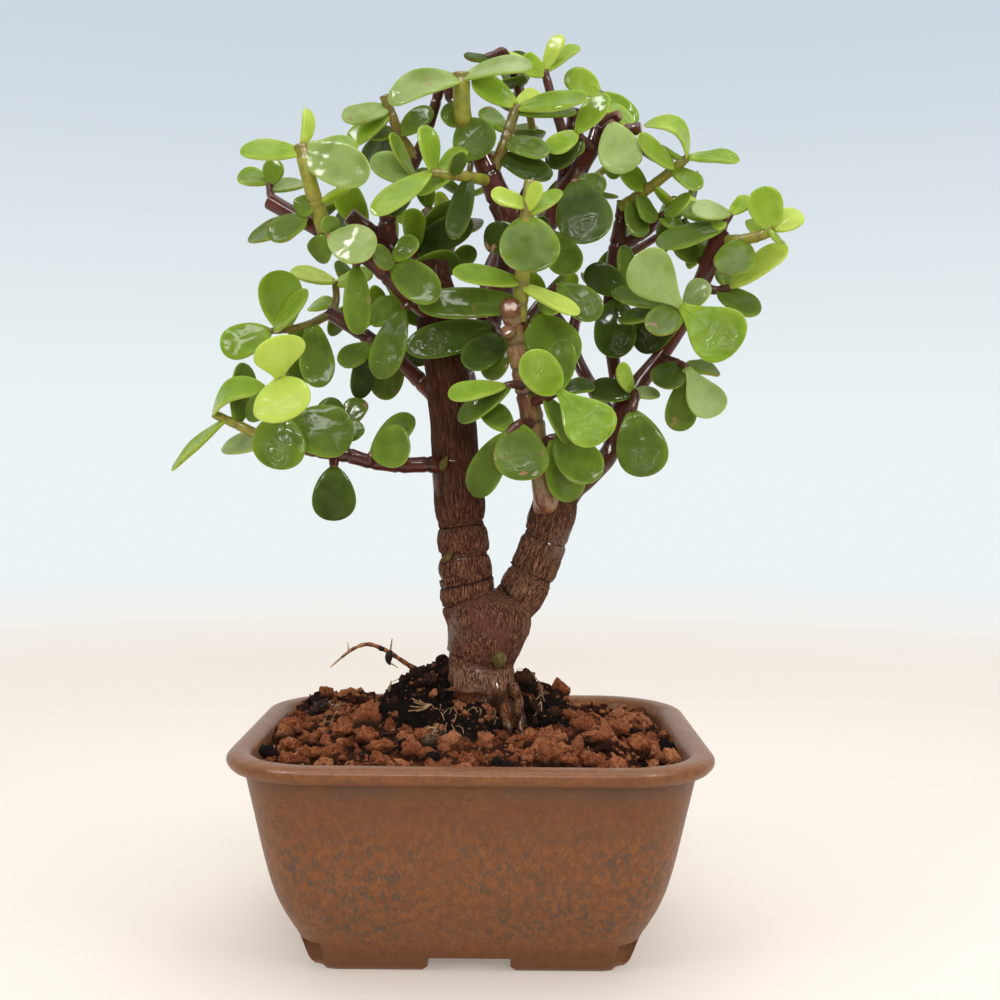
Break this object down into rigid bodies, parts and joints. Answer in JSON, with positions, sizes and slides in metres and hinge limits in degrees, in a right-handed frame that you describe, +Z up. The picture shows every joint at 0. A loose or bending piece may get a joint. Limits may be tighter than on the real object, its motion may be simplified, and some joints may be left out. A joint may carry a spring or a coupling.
{
  "type": "dwarf jade bonsai",
  "caption": "Small succulent bonsai with a forked woody trunk and leafy shoots of round thick leaves, standing in clay granules in a low glazed pot with cut-out feet.",
  "frame": {"origin": "middle of the object's outline seen from above, on the surface that the pot's feet stand on", "axes": "+Z up, front of the pot towards -Y, +X to the right as seen from the front"},
  "size_m": [0.181, 0.108, 0.2637],
  "materials": {
    "pot_glaze": "satin brown glaze with grey mottle and small pits",
    "drain_net": "matte",
    "fired_clay": "rough, unglazed, red-brown",
    "dark_soil": "rough, damp, fibrous",
    "bark": "purplish brown, finely streaked, slightly glossy",
    "root": "rough",
    "young_leaf": "glossy, yellow-green",
    "leaf": "glossy, mid green",
    "old_leaf": "glossy, deep green"
  },
  "bodies": {
    "root": {"pot": "pot_glaze", "drain_screen_left": "drain_net", "drain_screen_right": "drain_net", "clay_granules": "fired_clay", "root_ball_soil": "dark_soil", "trunk": "bark", "arching_root": "root", "leafy_shoot_01": "leaf", "leafy_shoot_02": "young_leaf", "leafy_shoot_03": "leaf", "leafy_shoot_04": "old_leaf", "leafy_shoot_05": "leaf", "leafy_shoot_06": "leaf", "leafy_shoot_07": "leaf", "leafy_shoot_08": "old_leaf", "leafy_shoot_09": "old_leaf", "leafy_shoot_10": "young_leaf", "leafy_shoot_11": "leaf", "leafy_shoot_12": "old_leaf", "leafy_shoot_13": "leaf", "leafy_shoot_14": "young_leaf", "leafy_shoot_15": "young_leaf", "leafy_shoot_16": "young_leaf", "leafy_shoot_17": "young_leaf", "leafy_shoot_18": "leaf", "leafy_shoot_19": "old_leaf", "leafy_shoot_20": "leaf", "leafy_shoot_21": "leaf", "leafy_shoot_22": "leaf", "leafy_shoot_23": "leaf", "leafy_shoot_24": "young_leaf", "leafy_shoot_25": "leaf", "leafy_shoot_26": "young_leaf", "leafy_shoot_27": "leaf", "leafy_shoot_28": "young_leaf", "leafy_shoot_29": "old_leaf", "leafy_shoot_30": "old_leaf", "leafy_shoot_31": "old_leaf", "leafy_shoot_32": "old_leaf", "leafy_shoot_33": "leaf", "leafy_shoot_34": "leaf", "leafy_shoot_35": "leaf", "leafy_shoot_36": "old_leaf", "leafy_shoot_37": "leaf", "leafy_shoot_38": "young_leaf", "leafy_shoot_39": "old_leaf", "leafy_shoot_40": "old_leaf", "leafy_shoot_41": "leaf", "leafy_shoot_42": "leaf", "leafy_shoot_43": "young_leaf", "leafy_shoot_44": "leaf", "leafy_shoot_45": "leaf", "leafy_shoot_46": "leaf", "leafy_shoot_47": "leaf", "leafy_shoot_48": "leaf", "leafy_shoot_49": "leaf", "leafy_shoot_50": "leaf", "leafy_shoot_51": "leaf", "leafy_shoot_52": "leaf", "leafy_shoot_53": "leaf"}
  },
  "joints": []
}
